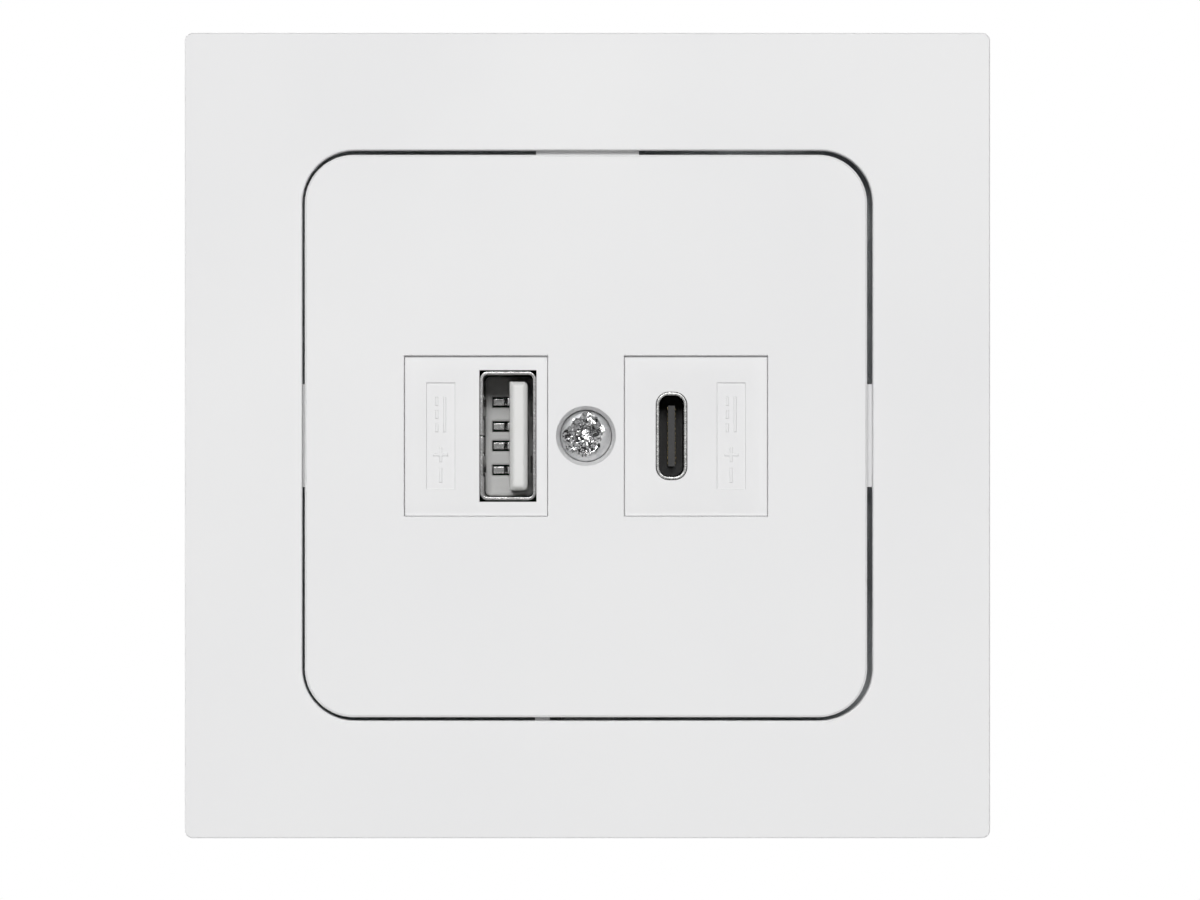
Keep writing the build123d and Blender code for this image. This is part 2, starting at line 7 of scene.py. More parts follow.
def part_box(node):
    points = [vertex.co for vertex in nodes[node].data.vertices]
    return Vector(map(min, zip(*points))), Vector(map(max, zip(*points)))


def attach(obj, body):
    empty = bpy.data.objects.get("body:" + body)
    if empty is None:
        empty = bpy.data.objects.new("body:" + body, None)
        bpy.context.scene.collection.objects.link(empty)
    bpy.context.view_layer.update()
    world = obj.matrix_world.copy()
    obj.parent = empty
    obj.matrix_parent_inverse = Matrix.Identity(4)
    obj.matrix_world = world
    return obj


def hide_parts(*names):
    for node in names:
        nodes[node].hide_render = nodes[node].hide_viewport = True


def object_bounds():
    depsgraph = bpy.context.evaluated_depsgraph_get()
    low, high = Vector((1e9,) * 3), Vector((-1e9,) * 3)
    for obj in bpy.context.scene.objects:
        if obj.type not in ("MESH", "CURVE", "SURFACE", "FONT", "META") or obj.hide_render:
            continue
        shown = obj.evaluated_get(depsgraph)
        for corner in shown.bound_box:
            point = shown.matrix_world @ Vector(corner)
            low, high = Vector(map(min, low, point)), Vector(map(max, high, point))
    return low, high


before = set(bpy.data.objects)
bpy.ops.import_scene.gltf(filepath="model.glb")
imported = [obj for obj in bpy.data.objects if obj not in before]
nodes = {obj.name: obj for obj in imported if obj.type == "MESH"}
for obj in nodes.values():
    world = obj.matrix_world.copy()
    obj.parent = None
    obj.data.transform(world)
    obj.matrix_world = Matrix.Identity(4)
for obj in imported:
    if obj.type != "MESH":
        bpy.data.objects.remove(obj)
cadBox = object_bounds()
mm = 0.001  # the frame and the studio are in metres, the sizes of the pieces in millimetres
flowDetail = 2.0  # octaves of the slow noises
grainDetail = 3.0  # octaves of the fine ones
noiseSpread = (0.3, 0.7)  # most values of a noise lie between these
bevelSamples = 6
creaseAngle = 32.0  # folds sharper than this, in degrees, stay creased
print("frame loaded,", len(nodes), "nodes")


# sRGB hex to a linear colour with alpha
def hexColour(code):
    channels = [int(code[i:i + 2], 16) / 255 for i in (1, 3, 5)]
    linear = [c / 12.92 if c <= 0.04045 else ((c + 0.055) / 1.055) ** 2.4 for c in channels]
    return (*linear, 1.0)


# one node with its settings; an input that is given a socket is linked to it
def addNode(tree, kind, settings=None, inputs=None):
    node = tree.nodes.new(kind)
    for name, value in (settings or {}).items():
        setattr(node, name, value)
    for name, value in (inputs or {}).items():
        if isinstance(value, bpy.types.NodeSocket):
            tree.links.new(value, node.inputs[name])
        else:
            node.inputs[name].default_value = value
    return node


# pattern scale for a feature of that size in millimetres, on coordinates in metres
def perMillimetre(size):
    return 1 / (size * mm)


def startMaterial(name, look):
    material = bpy.data.materials.new(name)
    material.use_nodes = True
    material.diffuse_color = hexColour(look["colour"])
    tree = material.node_tree
    shader = tree.nodes["Principled BSDF"]
    place = addNode(tree, "ShaderNodeTexCoord").outputs["Object"]
    return material, tree, shader, place


# moulded plastics: slow flow shading in the colour, fine grain in the relief, rounded edges
def mouldedPlastic(name, look):
    material, tree, shader, place = startMaterial(name, look)
    flow = addNode(tree, "ShaderNodeTexNoise", None, {
        "Vector": place, "Scale": perMillimetre(look["flow"]), "Detail": flowDetail})
    tint = addNode(tree, "ShaderNodeMix", {"data_type": "RGBA"}, {
        "Factor": flow.outputs["Fac"],
        "A": hexColour(look["colour"]), "B": hexColour(look["flowColour"])})
    gloss = addNode(tree, "ShaderNodeMapRange", None, {
        "Value": flow.outputs["Fac"], "From Min": noiseSpread[0], "From Max": noiseSpread[1],
        "To Min": look["roughness"][0], "To Max": look["roughness"][1]})
    grain = addNode(tree, "ShaderNodeTexNoise", None, {
        "Vector": place, "Scale": perMillimetre(look["grain"]), "Detail": grainDetail})
    edge = addNode(tree, "ShaderNodeBevel", {"samples": bevelSamples}, {"Radius": look["edge"] * mm})
    relief = addNode(tree, "ShaderNodeBump", None, {
        "Height": grain.outputs["Fac"], "Distance": look["grainDepth"] * mm,
        "Strength": 1.0, "Normal": edge.outputs["Normal"]})
    tree.links.new(tint.outputs["Result"], shader.inputs["Base Color"])
    tree.links.new(gloss.outputs["Result"], shader.inputs["Roughness"])
    tree.links.new(relief.outputs["Normal"], shader.inputs["Normal"])
    shader.inputs["IOR"].default_value = look["ior"]
    return material


# plated and drawn metals: drawing lines in relief and gloss, tarnish in the colour, rounded edges
def platedMetal(name, look):
    material, tree, shader, place = startMaterial(name, look)
    stretch = addNode(tree, "ShaderNodeMapping", None, {
        "Vector": place, "Scale": [perMillimetre(size) for size in look["lines"]]})
    lines = addNode(tree, "ShaderNodeTexNoise", None, {
        "Vector": stretch.outputs["Vector"], "Scale": 1.0, "Detail": grainDetail})
    bloom = addNode(tree, "ShaderNodeTexVoronoi", None, {
        "Vector": place, "Scale": perMillimetre(look["bloom"])})
    cell = addNode(tree, "ShaderNodeSeparateColor", None, {"Color": bloom.outputs["Color"]})
    tint = addNode(tree, "ShaderNodeMix", {"data_type": "RGBA"}, {
        "Factor": cell.outputs["Red"],
        "A": hexColour(look["colour"]), "B": hexColour(look["bloomColour"])})
    gloss = addNode(tree, "ShaderNodeMapRange", None, {
        "Value": lines.outputs["Fac"], "From Min": noiseSpread[0], "From Max": noiseSpread[1],
        "To Min": look["roughness"][0], "To Max": look["roughness"][1]})
    edge = addNode(tree, "ShaderNodeBevel", {"samples": bevelSamples}, {"Radius": look["edge"] * mm})
    relief = addNode(tree, "ShaderNodeBump", None, {
        "Height": lines.outputs["Fac"], "Distance": look["lineDepth"] * mm,
        "Strength": 1.0, "Normal": edge.outputs["Normal"]})
    tree.links.new(tint.outputs["Result"], shader.inputs["Base Color"])
    tree.links.new(gloss.outputs["Result"], shader.inputs["Roughness"])
    tree.links.new(relief.outputs["Normal"], shader.inputs["Normal"])
    shader.inputs["Metallic"].default_value = 1.0
    return material


# ABS from a finely eroded mould: satin white, the grain only breaks up the highlights
whiteAbs = mouldedPlastic("whiteAbsMoulded", {
    "colour": "#EAEAEA", "flowColour": "#E7E7E8", "flow": 26.0, "roughness": (0.50, 0.58),
    "grain": 0.30, "grainDepth": 0.0015, "edge": 0.10, "ior": 1.53})

# ABS of the port bezels: the same mix with its colour painted a shade darker, as painted shade for
# the sunk bezels; moulded a touch glossier
bezelAbsPaintedShade = mouldedPlastic("bezelAbsMouldedPaintedShade", {
    "colour": "#E8E8E8", "flowColour": "#E3E3E4", "flow": 9.0, "roughness": (0.42, 0.50),
    "grain": 0.35, "grainDepth": 0.0012, "edge": 0.10, "ior": 1.53})

# nylon of the USB-A insulator: slightly warm white, soft sheen, well-rounded edges
whiteNylon = mouldedPlastic("whiteNylonMoulded", {
    "colour": "#E2E2E1", "flowColour": "#DADAD8", "flow": 3.0, "roughness": (0.40, 0.52),
    "grain": 0.20, "grainDepth": 0.002, "edge": 0.45, "ior": 1.53})

# PBT with glass fibre: near black, speckled where fibres lie at the skin
blackPbt = mouldedPlastic("blackPbtGlassFilled", {
    "colour": "#060607", "flowColour": "#2C2C2D", "flow": 0.25, "roughness": (0.50, 0.64),
    "grain": 0.30, "grainDepth": 0.012, "edge": 0.06, "ior": 1.56})

# polycarbonate of the housings: light grey, matt from a blasted mould
greyPolycarbonate = mouldedPlastic("greyPolycarbonateBlasted", {
    "colour": "#CFCFCC", "flowColour": "#C6C7C5", "flow": 14.0, "roughness": (0.48, 0.60),
    "grain": 0.40, "grainDepth": 0.006, "edge": 0.25, "ior": 1.58})

# epoxy chip cases: charcoal, matt and granular
chipEpoxy = mouldedPlastic("chipEpoxyMoulded", {
    "colour": "#242527", "flowColour": "#2E2F31", "flow": 1.2, "roughness": (0.55, 0.68),
    "grain": 0.12, "grainDepth": 0.004, "edge": 0.10, "ior": 1.55})

# FR4 board under solder mask: green, glassy, the weave of the glass cloth just shows
boardMask = mouldedPlastic("glassEpoxyBoardMasked", {
    "colour": "#1E5A37", "flowColour": "#2C6B45", "flow": 1.6, "roughness": (0.22, 0.34),
    "grain": 0.50, "grainDepth": 0.004, "edge": 0.05, "ior": 1.55})

# sintered ferrite: dark grey ceramic with pores
ferrite = mouldedPlastic("ferriteSintered", {
    "colour": "#3B3B3D", "flowColour": "#2C2C2E", "flow": 0.8, "roughness": (0.50, 0.66),
    "grain": 0.25, "grainDepth": 0.010, "edge": 0.20, "ior": 1.9})

# polyester tape round the winding: amber yellow film, glossy with soft wrinkles
coilTape = mouldedPlastic("polyesterTapeWound", {
    "colour": "#D9B43A", "flowColour": "#CDA52C", "flow": 2.5, "roughness": (0.16, 0.30),
    "grain": 1.1, "grainDepth": 0.03, "edge": 0.20, "ior": 1.64})

# shrink sleeve of the cans: blue black film, drawn tight and shiny
canSleeve = mouldedPlastic("capacitorSleeveShrunk", {
    "colour": "#25262E", "flowColour": "#2D2F3A", "flow": 3.0, "roughness": (0.18, 0.28),
    "grain": 1.4, "grainDepth": 0.01, "edge": 0.40, "ior": 1.54})

# stamped steel shell and contacts, nickel plated: bright, with drawing lines along the depth
nickelSteel = platedMetal("stampedSteelNickelPlated", {
    "colour": "#B8B8B7", "bloomColour": "#ACACAB", "bloom": 0.9, "roughness": (0.20, 0.28),
    "lines": (0.12, 2.5, 0.12), "lineDepth": 0.003, "edge": 0.12})

# deep-drawn shell of the small port, nickel plated over a blasted blank: a soft, finely dotted gleam
satinNickel = platedMetal("drawnSteelNickelSatin", {
    "colour": "#C0C0BF", "bloomColour": "#9C9C9B", "bloom": 0.22, "roughness": (0.24, 0.32),
    "lines": (0.12, 2.5, 0.12), "lineDepth": 0.004, "edge": 0.16})

# pressed steel strap, claws and their screws, zinc plated: cool grey with a cloudy bloom
zincSteel = platedMetal("pressedSteelZincPlated", {
    "colour": "#BFC2C4", "bloomColour": "#B3B7BA", "bloom": 1.8, "roughness": (0.18, 0.24),
    "lines": (0.20, 0.20, 3.0), "lineDepth": 0.004, "edge": 0.12})

# cover screw of the same plating, polished: pale and even, until the driver bruises it below
drivenScrew = platedMetal("turnedScrewZincPlated", {
    "colour": "#E6E6E6", "bloomColour": "#D6D7D8", "bloom": 0.35, "roughness": (0.28, 0.36),
    "lines": (0.30, 0.30, 0.30), "lineDepth": 0.008, "edge": 0.06})


# tilted facets, coarse and fine, that glint on a ragged patch round the recess, with the colour
# darkened along its scratches as painted shade; the rim stays smooth
def bruiseAndScratchShade(material, look):
    tree = material.node_tree
    shader = tree.nodes["Principled BSDF"]
    leant = shader.inputs["Normal"].links[0].from_socket
    place = addNode(tree, "ShaderNodeTexCoord").outputs["Object"]
    across = addNode(tree, "ShaderNodeVectorMath", {"operation": "MULTIPLY_ADD"}, {
        0: place, 1: (1, 0, 1), 2: [-part * mm for part in look["centre"]]})
    away = addNode(tree, "ShaderNodeVectorMath", {"operation": "LENGTH"}, {
        0: across.outputs["Vector"]})
    ragged = addNode(tree, "ShaderNodeTexNoise", None, {
        "Vector": place, "Scale": perMillimetre(look["ragged"]), "Detail": flowDetail})
    reach = addNode(tree, "ShaderNodeMath", {"operation": "MULTIPLY_ADD"}, {
        0: ragged.outputs["Fac"], 1: look["raggedDepth"] * mm, 2: away.outputs["Value"]})
    inside = addNode(tree, "ShaderNodeMapRange", None, {
        "Value": reach.outputs["Value"], "From Min": look["fade"][0] * mm,
        "From Max": look["fade"][1] * mm, "To Min": 1.0, "To Max": 0.0})
    for size, tilt in look["facets"]:
        facet = addNode(tree, "ShaderNodeTexVoronoi", None, {
            "Vector": place, "Scale": perMillimetre(size)})
        lean = addNode(tree, "ShaderNodeVectorMath", {"operation": "MULTIPLY_ADD"}, {
            0: facet.outputs["Color"], 1: (tilt, tilt, tilt), 2: (-tilt / 2, -tilt / 2, -tilt / 2)})
        lean = addNode(tree, "ShaderNodeVectorMath", {"operation": "SCALE"}, {
            0: lean.outputs["Vector"], "Scale": inside.outputs["Result"]})
        leant = addNode(tree, "ShaderNodeVectorMath", {"operation": "ADD"}, {
            0: leant, 1: lean.outputs["Vector"]}).outputs["Vector"]
    leant = addNode(tree, "ShaderNodeVectorMath", {"operation": "NORMALIZE"}, {0: leant})
    tree.links.new(leant.outputs["Vector"], shader.inputs["Normal"])
    # burnished where the driver slipped, with painted shade darkening the colour along the scratches
    gloss = shader.inputs["Roughness"].links[0].from_socket
    gloss = addNode(tree, "ShaderNodeMix", None, {
        "Factor": inside.outputs["Result"], "A": gloss, "B": look["burnish"]})
    tree.links.new(gloss.outputs["Result"], shader.inputs["Roughness"])
    scratch = addNode(tree, "ShaderNodeTexVoronoi", {"feature": "DISTANCE_TO_EDGE"}, {
        "Vector": place, "Scale": perMillimetre(look["scratch"])})
    scratchShading = addNode(tree, "ShaderNodeMapRange", None, {
        "Value": scratch.outputs["Distance"], "From Min": 0.0, "From Max": look["scratchWidth"],
        "To Min": look["scratchShade"], "To Max": 1.0})
    scratchShading = addNode(tree, "ShaderNodeMix", None, {
        "Factor": inside.outputs["Result"], "A": 1.0, "B": scratchShading.outputs["Result"]})
    metal = shader.inputs["Base Color"].links[0].from_socket
    metal = addNode(tree, "ShaderNodeVectorMath", {"operation": "SCALE"}, {
        0: metal, "Scale": scratchShading.outputs["Result"]})
    tree.links.new(metal.outputs["Vector"], shader.inputs["Base Color"])


# the scratch shade value sets how dark the painted shade along the scratches goes
bruiseAndScratchShade(drivenScrew, {
    "centre": (-0.20, 0.0, 0.12), "ragged": 0.9, "raggedDepth": 1.6, "fade": (2.75, 2.90),
    "facets": ((0.50, 0.85), (0.15, 0.55)), "burnish": 0.16,
    "scratch": 0.40, "scratchWidth": 0.11, "scratchShade": 0.36})

# turned brass clamps and sleeve: warm yellow, tool marks round the axis
turnedBrass = platedMetal("brassTurned", {
    "colour": "#CDA756", "bloomColour": "#BD974A", "bloom": 1.5, "roughness": (0.22, 0.34),
    "lines": (1.5, 0.15, 1.5), "lineDepth": 0.004, "edge": 0.10})

# flash of gold on the contact strips and pins: thin, smooth and warm
goldFlash = platedMetal("contactGoldFlashed", {
    "colour": "#D2BE8A", "bloomColour": "#C4B07C", "bloom": 0.6, "roughness": (0.16, 0.24),
    "lines": (0.10, 1.5, 0.10), "lineDepth": 0.002, "edge": 0.03})

finishes = {
    "outer_frame": whiteAbs, "centre_cover": whiteAbs,
    "usb_a_insert": bezelAbsPaintedShade, "usb_c_insert": bezelAbsPaintedShade,
    "cover_screw": drivenScrew, "housing_screws": zincSteel, "terminal_screws": zincSteel,
    "usb_a_shell": nickelSteel, "usb_c_shell": satinNickel, "usb_a_contacts": nickelSteel,
    "usb_a_insulator": whiteNylon, "usb_c_insulator": blackPbt, "link_header": blackPbt,
    "usb_c_contacts": goldFlash, "link_pins": goldFlash,
    "port_board": boardMask, "power_board": boardMask,
    "port_chip": chipEpoxy, "fuse": chipEpoxy,
    "rectifier": chipEpoxy, "controller_chip": chipEpoxy,
    "front_housing": greyPolycarbonate, "rear_housing": greyPolycarbonate,
    "thread_insert": turnedBrass, "terminal_clamps": turnedBrass,
    "mounting_strap": zincSteel, "claw_right": zincSteel, "claw_left": zincSteel,
    "claw_screw_right": zincSteel, "claw_screw_left": zincSteel,
    "transformer_core": ferrite, "transformer_coil": coilTape,
    "input_capacitors": canSleeve, "output_capacitors": canSleeve,
}
for name, node in nodes.items():
    node.data.materials.clear()
    node.data.materials.append(finishes[name])
print("finishes on", len(finishes), "nodes")


# a finished piece: smooth with sharp creases, in its slot, riding on its body
def placePiece(name, mesh, material, body, matrix):
    mesh.polygons.foreach_set("use_smooth", [True] * len(mesh.polygons))
    mesh.set_sharp_from_angle(angle=math.radians(creaseAngle))
    mesh.materials.clear()
    mesh.materials.append(material)
    mesh.transform(matrix)
    piece = bpy.data.objects.new(name, mesh)
    bpy.context.scene.collection.objects.link(piece)
    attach(piece, body)
    return piece


# closed body of rings about local Z; an outline that starts off the axis closes into a hoop
def turnedMesh(bm, outline, sides):
    rings = []
    for radius, height in outline:
        if radius == 0:
            rings.append([bm.verts.new((0, 0, height))])
            continue
        ring = []
        for i in range(sides):
            turn = 2 * math.pi * i / sides
            ring.append(bm.verts.new((radius * math.cos(turn), radius * math.sin(turn), height)))
        rings.append(ring)
    following = rings[1:] if outline[0][0] == 0 else rings[1:] + rings[:1]
    for low, high in zip(rings, following):
        for i in range(sides):
            j = (i + 1) % sides
            corners = [low[i % len(low)], low[j % len(low)],
                       high[j % len(high)], high[i % len(high)]]
            bm.faces.new(list(dict.fromkeys(corners)))  # three corners where a ring is one point


# four-sided wing of a driver recess, narrower towards its floor
def recessWing(bm, look, turn, top):
    spin = Matrix.Rotation(turn, 4, "Z")
    levels = []
    for height, half, reach in (
            (top - look["recessDepth"], look["floorWidth"] / 2, look["floorLength"] / 2),
            (top + look["wingRise"], look["wingWidth"] / 2, look["wingLength"] / 2)):
        corners = [(-reach, -half), (reach, -half), (reach, half), (-reach, half)]
        levels.append([
            bm.verts.new(spin @ Vector((x * mm, y * mm, height * mm))) for x, y in corners])
    bm.faces.new(list(reversed(levels[0])))
    bm.faces.new(levels[1])
    for i in range(4):
        j = (i + 1) % 4
        bm.faces.new([levels[0][i], levels[0][j], levels[1][j], levels[1][i]])


def meshFrom(build, name):
    bm = bmesh.new()
    build(bm)
    bmesh.ops.recalc_face_normals(bm, faces=bm.faces)
    mesh = bpy.data.meshes.new(name)
    bm.to_mesh(mesh)
    bm.free()
    return mesh


# cuts the other meshes out of the first
def carved(body, cutters):
    holder = bpy.data.objects.new("carving", body)
    bpy.context.scene.collection.objects.link(holder)
    tools = []
    for cutter in cutters:
        tool = bpy.data.objects.new("cutter", cutter)
        bpy.context.scene.collection.objects.link(tool)
        cut = holder.modifiers.new("cut", "BOOLEAN")
        cut.operation = "DIFFERENCE"
        cut.solver = "EXACT"
        cut.object = tool
        tools.append(tool)
    graph = bpy.context.evaluated_depsgraph_get()
    result = bpy.data.meshes.new_from_object(holder.evaluated_get(graph))
    for used in [holder] + tools:
        bpy.data.objects.remove(used)
    return result


# pan-head screw about local Z: head on height 0, shank below it with a rolled thread
def screwMesh(name, look):
    rim = look["headDiameter"] / 2
    high = look["headHeight"]
    brow = look["headBrow"]
    root = look["shankDiameter"] / 2 - look["threadDepth"]

    def head(bm):
        shoulder = high - look["headDome"] - brow
        outline = [(0, -look["neck"]), (root, -look["neck"]), (root, 0),
                   (rim - look["headEdge"], 0), (rim, look["headEdge"]), (rim, shoulder)]
        for i in range(1, look["browSteps"] + 1):
            bend = i / look["browSteps"] * math.radians(look["browTurn"])
            outline.append((rim - brow * (1 - math.cos(bend)), shoulder + brow * math.sin(bend)))
        reach, start = outline[-1]
        for i in range(1, look["domeSteps"] + 1):
            out = 1 - i / look["domeSteps"]
            outline.append((reach * out, start + (high - start) * (1 - out * out)))
        turnedMesh(bm, [(r * mm, h * mm) for r, h in outline], look["sides"])

    wings = []
    for quarter in (0, 90):
        turn = math.radians(look["recessTurn"] + quarter)
        wings.append(meshFrom(lambda bm: recessWing(bm, look, turn, high), "wing"))
    top = carved(meshFrom(head, name), wings)

    def whole(bm):
        bm.from_mesh(top)
        threadMesh(bm, look)
    return meshFrom(whole, name)


# rolled thread below the head: a closed helical ridge that fades out at both ends
def threadMesh(bm, look):
    major = look["shankDiameter"] / 2
    pitch = look["pitch"]
    levels = round(look["shankLength"] / pitch * look["levelsPerTurn"])
    sides = look["threadSides"]
    rings = []
    for level in range(levels + 1):
        depth = look["shankLength"] * level / levels
        ring = []
        for i in range(sides):
            wave = (depth / pitch + i / sides) % 1
            ridge = 1 - abs(2 * wave - 1)  # 0 in the root, 1 on the crest
            fade = min(1, depth / pitch, (look["shankLength"] - depth) / pitch)
            crest = min(1, look["crestSwell"] * ridge) * fade
            radius = (major - look["threadDepth"] * (1 - crest)) * mm
            turn = 2 * math.pi * i / sides
            ring.append(bm.verts.new((radius * math.cos(turn), radius * math.sin(turn), -depth * mm)))
        rings.append(ring)
    for low, high in zip(rings, rings[1:]):
        for i in range(sides):
            j = (i + 1) % sides
            bm.faces.new([low[i], high[i], high[j], low[j]])
    bm.faces.new(rings[0])
    bm.faces.new(list(reversed(rings[-1])))


# puts a piece's origin on that point, with its local Z turned to the room side
def facingRoom(x, y, z):
    return Matrix.Translation((x * mm, y * mm, z * mm)) @ Matrix.Rotation(math.pi / 2, 4, "X")


# the cover screw, its cross left askew
coverScrew = {
    "headDiameter": 5.2, "headHeight": 2.0, "headDome": 0.5, "headEdge": 0.12, "neck": 0.4,
    "headBrow": 0.18, "browSteps": 4, "browTurn": 66.0, "domeSteps": 10, "sides": 72,
    "wingLength": 4.2, "wingWidth": 0.75, "wingRise": 0.18, "floorLength": 1.3, "floorWidth": 0.5,
    "recessDepth": 1.25, "recessTurn": 17.0, "shankDiameter": 2.98, "shankLength": 7.95,
    "pitch": 0.5, "threadDepth": 0.28, "crestSwell": 1.3, "levelsPerTurn": 8, "threadSides": 36}
screwSeat = -(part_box("cover_screw")[0].y / mm + coverScrew["headHeight"])
piece = placePiece("coverScrewPiece", screwMesh("coverScrewPiece", coverScrew), drivenScrew,
                   "socket", facingRoom(0, -screwSeat, 0))
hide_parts("cover_screw")

# flared mouth of the counterbore, moulded on the cover, down to a close bore round the screw's head
screwFlare = {
    "outer": 3.10, "mouth": 3.04, "bore": 2.67, "sunk": 0.01, "slopes": (72.0, 77.0, 80.0),
    "foot": 6.3, "sides": 72}


def flareMesh(bm, look, front):
    step = (look["mouth"] - look["bore"]) / len(look["slopes"])
    radius = look["mouth"]
    height = front - look["sunk"]
    outline = [(look["outer"], look["foot"]), (look["outer"], height), (radius, height)]
    for slope in look["slopes"]:
        radius -= step
        height -= step * math.tan(math.radians(slope))
        outline.append((radius, height))
    outline.append((radius, look["foot"]))
    turnedMesh(bm, [(r * mm, h * mm) for r, h in outline], look["sides"])


coverFront = -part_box("centre_cover")[0].y / mm
mesh = meshFrom(lambda bm: flareMesh(bm, screwFlare, coverFront), "counterboreFlare")
placePiece("counterboreFlare", mesh, whiteAbs, "socket", facingRoom(0, 0, 0))

# the claw screws, one on each side, long and fully threaded
clawScrew = dict(coverScrew, headDiameter=5.4, headHeight=1.8, shankLength=20.95,
                 recessTurn=10.0, recessDepth=1.1)
for side in ("right", "left"):
    low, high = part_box("claw_screw_" + side)
    middle = (low + high) / 2 / mm
    name = side + "ClawScrewPiece"
    place = facingRoom(middle.x, low.y / mm + clawScrew["headHeight"], middle.z)
    piece = placePiece(name, screwMesh(name, clawScrew), zincSteel,
                       side + "_claw_screw", place)
    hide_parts("claw_screw_" + side)
print("screws done")


# raised shapes on local XY from closed outlines, with a sloped edge all round
def raisedMark(name, outlines, height, edge):
    def build(bm):
        for outline in outlines:
            foot = bm.faces.new([bm.verts.new((x * mm, y * mm, 0)) for x, y in outline])
            made = bmesh.ops.extrude_face_region(bm, geom=[foot])["geom"]
            crest = [part for part in made if isinstance(part, bmesh.types.BMFace)][0]
            bmesh.ops.translate(bm, vec=(0, 0, height * mm), verts=crest.verts)
            bmesh.ops.inset_individual(bm, faces=[crest], thickness=edge * mm, depth=0)
            rim = {v for e in crest.edges for f in e.link_faces for v in f.verts} - set(crest.verts)
            for corner in rim:
                corner.co.z -= edge * mm
    return meshFrom(build, name)


def barOutline(x, y, wide, high):
    return [(x - wide / 2, y - high / 2), (x + wide / 2, y - high / 2),
            (x + wide / 2, y + high / 2), (x - wide / 2, y + high / 2)]


def plusOutline(x, y, size, stroke):
    a = size / 2
    b = stroke / 2
    return [(x + u, y + v) for u, v in (
        (-b, -a), (b, -a), (b, -b), (a, -b), (a, b), (b, b),
        (b, a), (-b, a), (-b, b), (-a, b), (-a, -b), (-b, -b))]


# rib on the frame's collar, low in its opening, that hides the strap's slot behind the gap
lowRib = {"wide": 5.4, "collar": 30.1, "reach": 2.55, "foot": 4.2, "height": 1.2, "edge": 0.15}
low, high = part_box("outer_frame")
middle = (low + high) / 2 / mm
place = facingRoom(middle.x, -lowRib["foot"], middle.z - lowRib["collar"] + lowRib["reach"] / 2)
outline = barOutline(0, 0, lowRib["wide"], lowRib["reach"])
mesh = raisedMark("frameLowRib", [outline], lowRib["height"], lowRib["edge"])
placePiece("frameLowRib", mesh, whiteAbs, "socket", place)

# direct current sign and the two polarity signs, upright when the plate is turned a quarter
portMark = {
    "aside": 3.6, "sunk": 0.15, "height": 0.1, "edge": 0.05, "stroke": 0.30, "signAt": 2.2,
    "signLength": 3.6, "signGap": 0.8, "dash": 0.9, "dashes": 3, "poleAt": (-1.9, -4.0), "pole": 1.5}


def directCurrentOutlines(look):
    stroke = look["stroke"]
    outlines = [barOutline(look["signGap"] / 2, look["signAt"], stroke, look["signLength"])]
    pitch = (look["signLength"] - look["dash"]) / (look["dashes"] - 1)
    for i in range(look["dashes"]):
        along = look["signAt"] + (i - (look["dashes"] - 1) / 2) * pitch
        outlines.append(barOutline(-look["signGap"] / 2, along, stroke, look["dash"]))
    plus, minus = look["poleAt"]
    outlines.append(plusOutline(0, plus, look["pole"], stroke))
    outlines.append(barOutline(0, minus, stroke, look["pole"]))
    return outlines


for port, name, sign in (("usb_a", "leftPortMark", -1), ("usb_c", "rightPortMark", 1)):
    low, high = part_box(port + "_insert")
    middle = (low + high) / 2 / mm
    place = facingRoom(middle.x + sign * portMark["aside"], low.y / mm + portMark["sunk"], middle.z)
    mesh = raisedMark(name, directCurrentOutlines(portMark), portMark["height"], portMark["edge"])
    placePiece(name, mesh, bezelAbsPaintedShade, "socket", place)


# closed outlines of the two wire letters
def letterOutline(letter, look):
    wide, high, bar, slant = look["wide"], look["high"], look["bar"], look["slant"]
    outline = {
        "L": [(0, 0), (wide, 0), (wide, bar), (bar, bar), (bar, high), (0, high)],
        "N": [(0, 0), (bar, 0), (bar, high - slant), (wide - bar, 0), (wide, 0), (wide, high),
              (wide - bar, high), (wide - bar, slant), (bar, high), (0, high)]}[letter]
    return [(x - wide / 2, y - high / 2) for x, y in outline]


# line and neutral letters beside the two wire entries, read from behind
wireMark = {"wide": 1.7, "high": 2.4, "bar": 0.42, "slant": 0.95, "height": 0.2, "edge": 0.08,
            "wallTop": 23.0, "places": {"L": (6.0, 16.6), "N": (-6.0, 16.6)}}
for letter, (x, y) in wireMark["places"].items():
    name = "wireMark" + letter
    spot = Matrix.Translation((x * mm, y * mm, wireMark["wallTop"] * mm))
    place = spot @ Matrix.Rotation(math.pi, 4, "Z")
    mesh = raisedMark(name, [letterOutline(letter, wireMark)], wireMark["height"], wireMark["edge"])
    placePiece(name, mesh, greyPolycarbonate, "socket", place)
print("marks done")

# studio: a soft key above the lens, weak lamps overhead, left and right, two more for the back and
# the left side, and a white surround that lights the part only a little
studio = {
    "lamps": {
        "keyLamp": {"place": (-0.06, -2.07, 0.68), "wide": 1.0, "high": 0.48, "watts": 32.9},
        "topLamp": {"place": (-0.50, -1.60, 1.44), "wide": 1.2, "high": 0.80, "watts": 4.0},
        "leftLamp": {"place": (-1.50, -1.30, 0.30), "wide": 0.8, "high": 1.10, "watts": 3.0},
        "rightLamp": {"place": (1.20, -1.70, 0.00), "wide": 0.8, "high": 2.00, "watts": 4.4},
        "backLamp": {"place": (0.90, 1.70, 1.00), "wide": 1.20, "high": 1.20, "watts": 48.0},
        "sideLamp": {"place": (-1.90, 0.70, 0.15), "wide": 1.00, "high": 1.20, "watts": 16.0}},
    "ambient": 0.05, "surroundColour": "#FFFFFF"}
world = bpy.data.worlds.new("studio")
bpy.context.scene.world = world
world.use_nodes = True
tree = world.node_tree
surround = tree.nodes["Background"]
surround.inputs["Color"].default_value = hexColour(studio["surroundColour"])
rays = addNode(tree, "ShaderNodeLightPath")
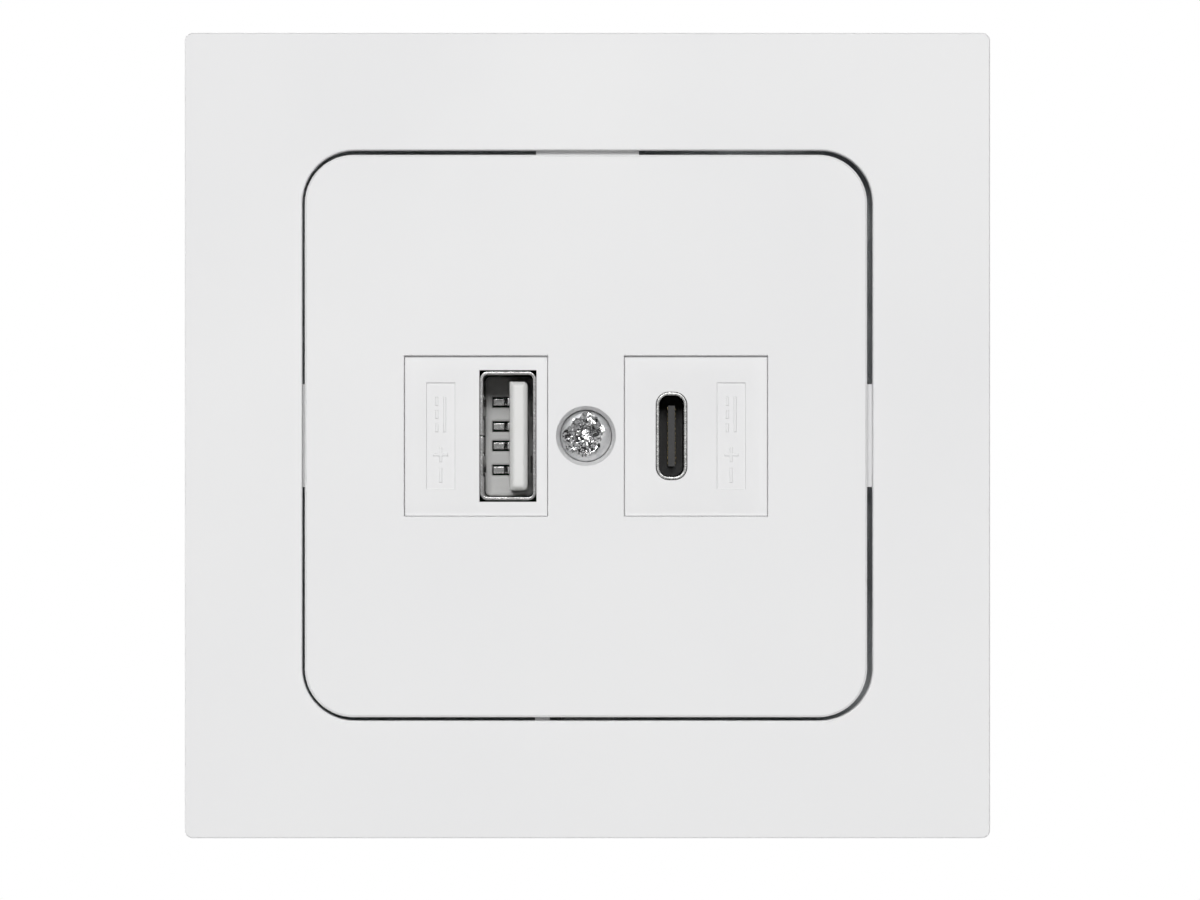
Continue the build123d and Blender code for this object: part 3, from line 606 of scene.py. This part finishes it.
seen = addNode(tree, "ShaderNodeMath", {"operation": "MAXIMUM"}, {
    0: rays.outputs["Is Camera Ray"], 1: rays.outputs["Is Glossy Ray"]})
seen = addNode(tree, "ShaderNodeMath", {"operation": "MAXIMUM"}, {
    0: seen.outputs["Value"], 1: rays.outputs["Is Transmission Ray"]})
strength = addNode(tree, "ShaderNodeMapRange", None, {
    "Value": seen.outputs["Value"], "To Min": studio["ambient"], "To Max": 1.0})
tree.links.new(strength.outputs["Result"], surround.inputs["Strength"])

for name, look in studio["lamps"].items():
    lamp = bpy.data.lights.new(name, "AREA")
    lamp.shape = "RECTANGLE"
    lamp.size = look["wide"]
    lamp.size_y = look["high"]
    lamp.energy = look["watts"]
    holder = bpy.data.objects.new(name, lamp)
    holder.location = look["place"]
    holder.rotation_euler = Vector(look["place"]).to_track_quat("Z", "Y").to_euler()
    bpy.context.scene.collection.objects.link(holder)


# flat square sheet of the stage, upright across the view or lying level
def stageSheet(name, half, at, upright, material):
    square = [(-half, -half), (half, -half), (half, half), (-half, half)]
    corners = [(u, at, v) if upright else (u, v, at) for u, v in square]
    mesh = bpy.data.meshes.new(name)
    mesh.from_pydata(corners, [], [(0, 1, 2, 3)])
    mesh.materials.append(material)
    sheet = bpy.data.objects.new(name, mesh)
    bpy.context.scene.collection.objects.link(sheet)
    return sheet


# pressed felt: dark grey and quite dull
cardFelt = mouldedPlastic("cardFelt", {
    "colour": "#2A2A2A", "flowColour": "#222222", "flow": 80.0, "roughness": (0.9, 1.0),
    "grain": 3.0, "grainDepth": 0.1, "edge": 0.1, "ior": 1.3})

# card far behind the lens: only metal sees it, as the dark side of its reflections
studioCard = {"half": 6.4, "at": -2.8}
card = stageSheet("studioCard", studioCard["half"], studioCard["at"], True, cardFelt)
card.visible_camera = False
card.visible_diffuse = False
card.visible_shadow = False

# rolled paint: off-white and matt, a little cloudy
floorPaint = mouldedPlastic("floorPainted", {
    "colour": "#EDEDED", "flowColour": "#E8E8E8", "flow": 60.0, "roughness": (0.6, 0.75),
    "grain": 2.0, "grainDepth": 0.02, "edge": 0.1, "ior": 1.45})

# floor well below the part: it only throws light back up, the surround stays white
studioFloor = {"half": 0.42, "drop": 0.35}
level = cadBox[0].z - studioFloor["drop"]
floor = stageSheet("studioFloor", studioFloor["half"], level, False, floorPaint)
floor.visible_camera = False

# long lens straight in front, a little right of and below the plate's middle
lens = {"place": (1.43, -659.0, -1.425), "focal": 191.5, "sensor": 36.0}
camera = bpy.data.objects.new("photoLens", bpy.data.cameras.new("photoLens"))
camera.data.lens = lens["focal"]
camera.data.sensor_width = lens["sensor"]
camera.location = [part * mm for part in lens["place"]]
camera.rotation_euler = (math.pi / 2, 0, 0)
bpy.context.scene.collection.objects.link(camera)
bpy.context.scene.camera = camera
bpy.context.scene.view_settings.view_transform = "Standard"
print("studio done")
